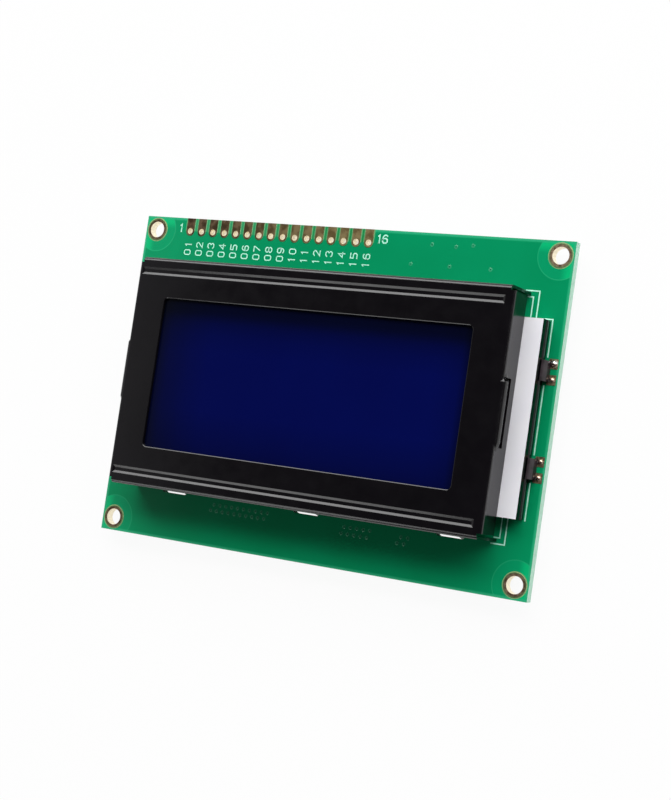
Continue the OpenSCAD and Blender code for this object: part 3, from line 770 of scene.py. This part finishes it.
# In millimetres: loose holes beside the header, and rows along the bezel's lower long edge, each
# given by its first place, its number of holes and their pitch
LOOSE_VIAS = [(17.1, 27.95), (21.7, 27.8), (24.9, 28.2), (13.5, 24.3), (21.0, 24.3), (28.7, 24.3)]
VIA_ROWS = [
    (-19.8, -23.4, 10, 1.27),
    (-19.2, -22.3, 10, 1.27),
    (8.0, -22.5, 5, 1.27),
    (7.6, -23.7, 5, 1.27),
    (18.6, -23.8, 2, 1.3),
    (19.2, -22.7, 2, 1.3),
]


def via_places():
    """Where the small plated holes are."""
    places = list(LOOSE_VIAS)
    for x, y, count, pitch in VIA_ROWS:
        places += [(x + pitch * i, y) for i in range(count)]
    return [(x * MM, y * MM) for x, y in places]


def add_vias():
    """Masked rings on both faces of the board, with the mouths of their holes."""
    rings = bmesh.new()
    mouths = bmesh.new()
    for x, y in via_places():
        for face, out in ((FRONT_Z, 1), (BACK_Z, -1)):
            top = face + out * VIA_H
            rim = face + out * VIA_RIM_H
            ring = [(VIA_R, face), (VIA_SHOULDER_R, top), (VIA_HOLE_R, top), (VIA_HOLE_R, face)]
            turned(rings, x, y, ring)
            cup = turned(mouths, x, y, [(VIA_HOLE_R, rim), (VIA_FLOOR_R, face)])
            mouths.faces.new(cup[-1])
    # The rings are lighter than the mask round them, partly in their own colour and partly as a painted
    # highlight
    ring_mask_and_highlight = raised_mask_finish("via_ring", srgb(28, 150, 102), srgb(54, 166, 118))
    finish_piece(rings, "via_rings", ring_mask_and_highlight)
    finish_piece(mouths, "via_mouths", mouth_finish())


# ---- copper lines on the back ----

TRACE_W = 0.25 * MM
TRACE_H = 0.018 * MM
TRACE_PITCH = 0.62 * MM

# A line starts below its pin, turns at a knee that lies lower for each pin to the left, but not
# lower than KNEE_LEAST above its end, and ends above the cap at TRACE_PITCH from the next line
TRACE_START = 1.4 * MM
KNEE_DROP = 1.2 * MM
KNEE_STEP = 0.35 * MM
KNEE_LEAST = 0.5 * MM
TRACE_END = 1.0 * MM


def add_back_traces():
    """Masked copper lines on the back, fanning in from the header to the round caps."""
    mesh = bmesh.new()
    top = HEADER_Y - TRACE_START
    foot = node_box("controller_cap")[1].y + TRACE_END
    for pin in range(HEADER_COUNT):
        x = HEADER_X + pin * HEADER_PITCH
        target = (pin - (HEADER_COUNT - 1) / 2) * TRACE_PITCH
        knee = top - KNEE_DROP - KNEE_STEP * (HEADER_COUNT - pin)
        knee = max(knee, foot + KNEE_LEAST)
        slant = min(abs(x - target), knee - foot)
        path = [(x, top), (x, knee), (target, knee - slant), (target, foot)]
        ribbon(mesh, path, TRACE_W, BACK_Z - TRACE_H, BACK_Z)
    trace_mask = raised_mask_finish("masked_trace", srgb(20, 158, 106), srgb(28, 172, 118))
    finish_piece(mesh, "back_traces", trace_mask)


print_pin_numbers()
add_vias()
add_back_traces()


# ---- stage, light and camera ----

FLOOR_HALF = 6.0
FLOOR_GREY = 0.85
FLOOR_GLOW = 0.94

# The tent's colours at the horizon and overhead, from where a direction's Z passes this value
TENT_LOW = (0.12, 0.12, 0.123, 1)
TENT_HIGH = (0.03, 0.03, 0.034, 1)
TENT_HIGH_FROM = 0.9

# The camera's place and the point that it looks at, from the middle of the board's front, its
# roll in degrees, and its lens and film width in millimetres
CAMERA_PLACE = Vector((143.62, -14.88, 253.62)) * MM
CAMERA_AIM = Vector((2.64, -0.74, 0)) * MM
CAMERA_ROLL = 76.66
CAMERA_LENS = 74.13
CAMERA_FILM = 36.0
CAMERA_CLIP = (0.01, 50)


def floor_material():
    """Matt grey to light and shadow, and nearly white to the eye, in mirrors and through glass."""
    material = bpy.data.materials.new("pale_floor")
    material.use_nodes = True
    tree = material.node_tree
    tree.nodes.clear()
    matt = tree.nodes.new("ShaderNodeBsdfDiffuse")
    matt.inputs["Color"].default_value = (FLOOR_GREY, FLOOR_GREY, FLOOR_GREY, 1)
    glow = tree.nodes.new("ShaderNodeEmission")
    glow.inputs["Color"].default_value = (1, 1, 1, 1)
    glow.inputs["Strength"].default_value = 1.0
    path = tree.nodes.new("ShaderNodeLightPath")
    seen = calculate(tree, "MAXIMUM", path.outputs["Is Camera Ray"], path.outputs["Is Glossy Ray"])
    seen = calculate(tree, "MAXIMUM", seen, path.outputs["Is Transmission Ray"])
    mix = tree.nodes.new("ShaderNodeMixShader")
    tree.links.new(calculate(tree, "MULTIPLY", seen, FLOOR_GLOW), mix.inputs["Fac"])
    tree.links.new(matt.outputs[0], mix.inputs[1])
    tree.links.new(glow.outputs[0], mix.inputs[2])
    out = tree.nodes.new("ShaderNodeOutputMaterial")
    tree.links.new(mix.outputs[0], out.inputs["Surface"])
    return material


def add_floor():
    """Pale floor that touches the lowest point of the module."""
    bpy.ops.mesh.primitive_plane_add(size=2 * FLOOR_HALF, location=(0, 0, CAD_BOX[0][2]))
    floor = bpy.context.object
    floor.name = "floor"
    floor.data.materials.append(floor_material())


def add_world():
    """Soft surroundings: brightest at the horizon and dim overhead, as in a tent with a dark top."""
    world = bpy.data.worlds.new("tent")
    bpy.context.scene.world = world
    world.use_nodes = True
    tree = world.node_tree
    tree.nodes.clear()
    coord = tree.nodes.new("ShaderNodeTexCoord")
    split = tree.nodes.new("ShaderNodeSeparateXYZ")
    tree.links.new(coord.outputs["Generated"], split.inputs[0])
    ramp = tree.nodes.new("ShaderNodeValToRGB")
    ramp.color_ramp.interpolation = "EASE"
    low, high = ramp.color_ramp.elements
    low.position = 0.0
    low.color = TENT_LOW
    high.position = TENT_HIGH_FROM
    high.color = TENT_HIGH
    tree.links.new(split.outputs["Z"], ramp.inputs["Fac"])
    back = tree.nodes.new("ShaderNodeBackground")
    tree.links.new(ramp.outputs["Color"], back.inputs["Color"])
    out = tree.nodes.new("ShaderNodeOutputWorld")
    tree.links.new(back.outputs[0], out.inputs["Surface"])


def add_panel(name, azimuth, elevation, width, height, radiance):
    """A soft panel a metre away that faces the module. Azimuth 0 is towards +Y and 90 towards +X."""
    turn = math.radians(azimuth)
    rise = math.radians(elevation)
    flat = math.cos(rise)
    place = Vector((math.sin(turn) * flat, math.cos(turn) * flat, math.sin(rise)))
    data = bpy.data.lights.new(name, "AREA")
    data.shape = "RECTANGLE"
    data.size = width
    data.size_y = height
    data.energy = radiance * math.pi * width * height
    lamp = bpy.data.objects.new(name, data)
    lamp.location = place
    lamp.rotation_euler = (-place).to_track_quat("-Z", "Y").to_euler()
    bpy.context.scene.collection.objects.link(lamp)


def add_camera():
    """The photograph's view. Its roll brings the header row to the top of the picture."""
    data = bpy.data.cameras.new("camera")
    data.lens = CAMERA_LENS
    data.sensor_width = CAMERA_FILM
    data.clip_start, data.clip_end = CAMERA_CLIP
    camera = bpy.data.objects.new("camera", data)
    place = Matrix.Translation(CAMERA_PLACE + Vector((0, 0, FRONT_Z)))
    aim = (CAMERA_AIM - CAMERA_PLACE).to_track_quat("-Z", "Y").to_matrix().to_4x4()
    roll = Matrix.Rotation(-math.radians(CAMERA_ROLL), 4, "Z")
    camera.matrix_world = place @ aim @ roll
    bpy.context.scene.collection.objects.link(camera)
    bpy.context.scene.camera = camera


add_floor()
add_world()
add_panel("key", azimuth=11, elevation=40, width=2.4, height=0.7, radiance=4.8)
add_panel("fill", azimuth=-144, elevation=32, width=0.27, height=0.8, radiance=2.4)
add_panel("side", azimuth=-90, elevation=33, width=0.7, height=0.75, radiance=0.32)
add_camera()

bpy.context.scene.view_settings.view_transform = "Standard"
